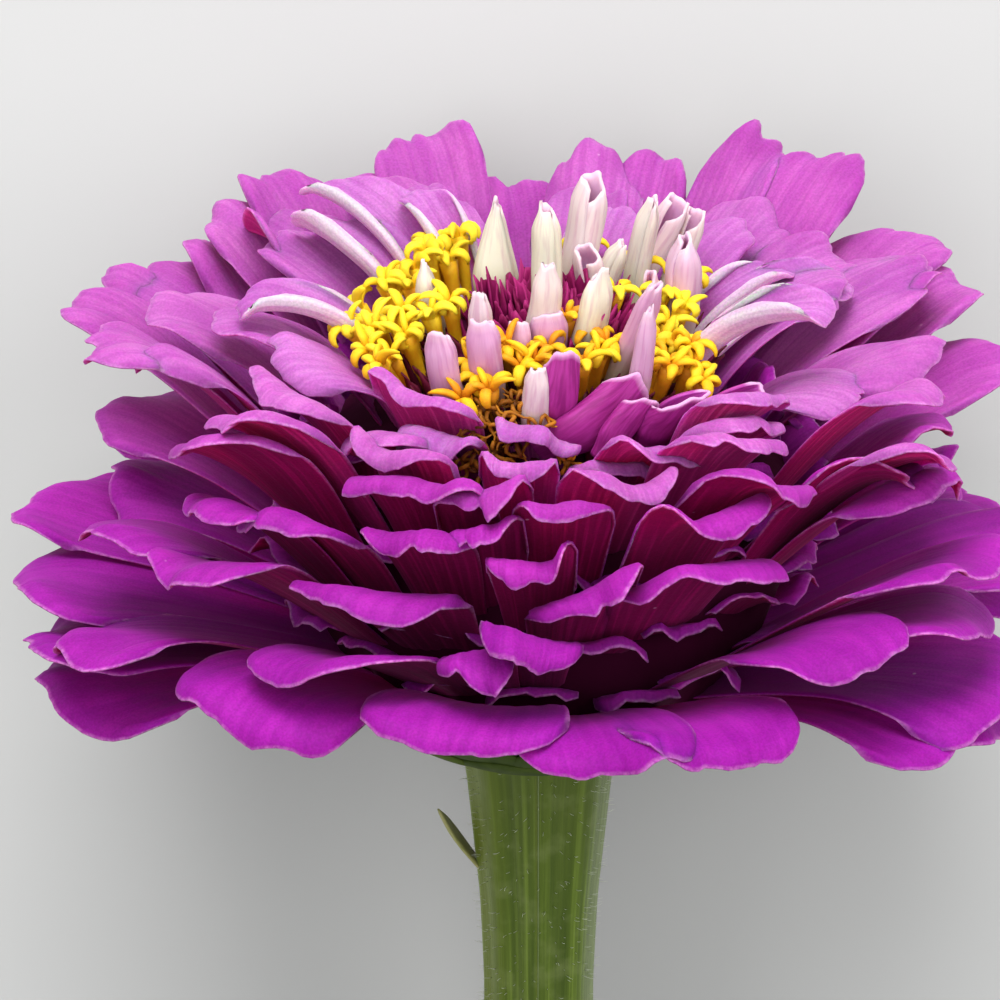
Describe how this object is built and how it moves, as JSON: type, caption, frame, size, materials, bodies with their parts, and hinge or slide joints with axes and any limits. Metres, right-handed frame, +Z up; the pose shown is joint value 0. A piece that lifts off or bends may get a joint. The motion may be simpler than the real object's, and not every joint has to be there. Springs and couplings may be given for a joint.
{
  "type": "zinnia flower",
  "caption": "Picked double zinnia bloom with layered magenta ray petals, a yellow and pale centre and a cut stem, lying on a surface.",
  "frame": {"origin": "middle of the flower's footprint, on the surface it lies on", "axes": "+Z up from the surface, the bloom faces -Y, the cut stem points to +Y, +X to the right seen from the bloom's face"},
  "size_m": [0.0808, 0.1622, 0.0713],
  "materials": {
    "stem": "matte, finely hairy, ridged",
    "involucre": "matte scales with dark brown margins",
    "ray_petals": "satin above, dull maroon with fine lengthwise veins below, pale edges",
    "disc_florets": "velvety yellow",
    "young_rays": "waxy cream white flushed pink",
    "chaff": "matte crimson"
  },
  "bodies": {
    "root": {"stem": "stem", "involucre": "involucre", "ray_petals": "ray_petals", "disc_florets": "disc_florets", "young_rays": "young_rays", "chaff": "chaff"}
  },
  "joints": []
}
